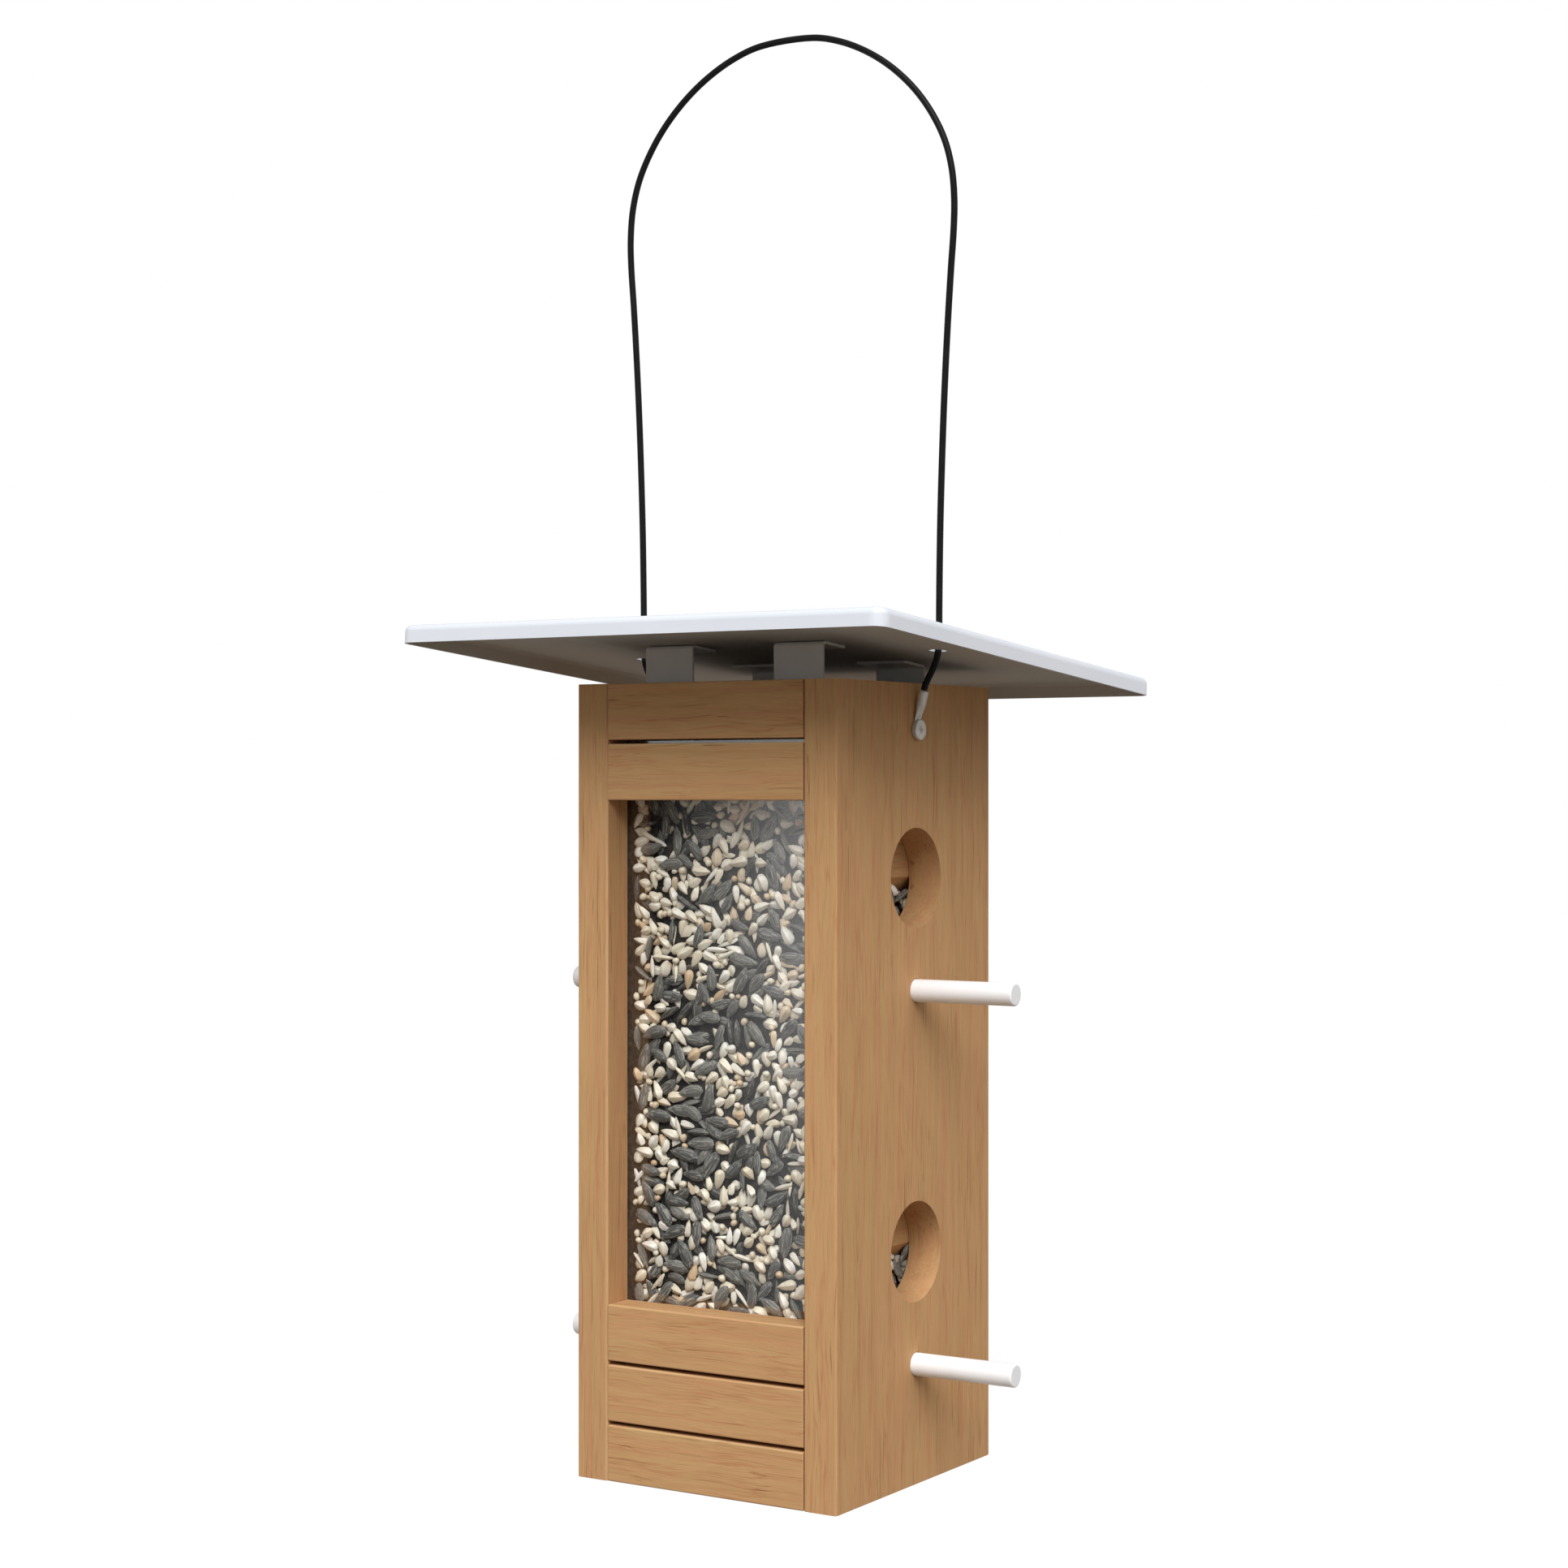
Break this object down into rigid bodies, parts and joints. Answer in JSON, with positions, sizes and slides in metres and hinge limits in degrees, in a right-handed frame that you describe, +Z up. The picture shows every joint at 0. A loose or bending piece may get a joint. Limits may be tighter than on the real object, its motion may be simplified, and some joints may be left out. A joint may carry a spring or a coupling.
{
  "type": "hanging bird feeder",
  "caption": "Square wooden hopper bird feeder with clear front and back, feeding ports with perches on both sides, a sloping pan roof that lifts, and a cable hanger.",
  "frame": {"origin": "middle of the base, on the plane that the feeder stands on", "axes": "+Z up along the tower, +X towards the right-hand feeding ports, -Y towards the front window, where the roof is higher"},
  "size_m": [0.248, 0.2505, 0.6526],
  "materials": {
    "board": "oiled hardwood boards, straight grain, eased edges",
    "window": "clear acrylic sheet, polished",
    "perch": "satin white paint",
    "roof": "gloss white coating",
    "roof_leg": "plain bent strip",
    "fitting": "tin-plated lug and zinc-plated screw",
    "cable": "black vinyl coating over steel cable"
  },
  "bodies": {
    "tower": {"side_panel_left": "board", "side_panel_right": "board", "front_base_slat_1": "board", "front_base_slat_2": "board", "front_base_slat_3": "board", "front_top_slat_1": "board", "front_top_slat_2": "board", "back_base_slat_1": "board", "back_base_slat_2": "board", "back_base_slat_3": "board", "back_top_slat_1": "board", "back_top_slat_2": "board", "front_window": "window", "back_window": "window", "floor_panel": "board", "hood_upper_left": "board", "hood_upper_right": "board", "hood_lower_left": "board", "hood_lower_right": "board", "perch_upper_left": "perch", "perch_upper_right": "perch", "perch_lower_left": "perch", "perch_lower_right": "perch", "cable_lug_left": "fitting", "cable_lug_right": "fitting", "lug_screw_left": "fitting", "lug_screw_right": "fitting", "hanger_cable": "cable"},
    "roof": {"roof_pan": "roof", "roof_leg_front_left": "roof_leg", "roof_leg_front_right": "roof_leg", "roof_leg_back_left": "roof_leg", "roof_leg_back_right": "roof_leg"}
  },
  "joints": [
    {"name": "roof_lift", "type": "slide", "parent": "tower", "child": "roof", "axis": [0, 0, 1], "range_m": [0, 0.085]}
  ]
}
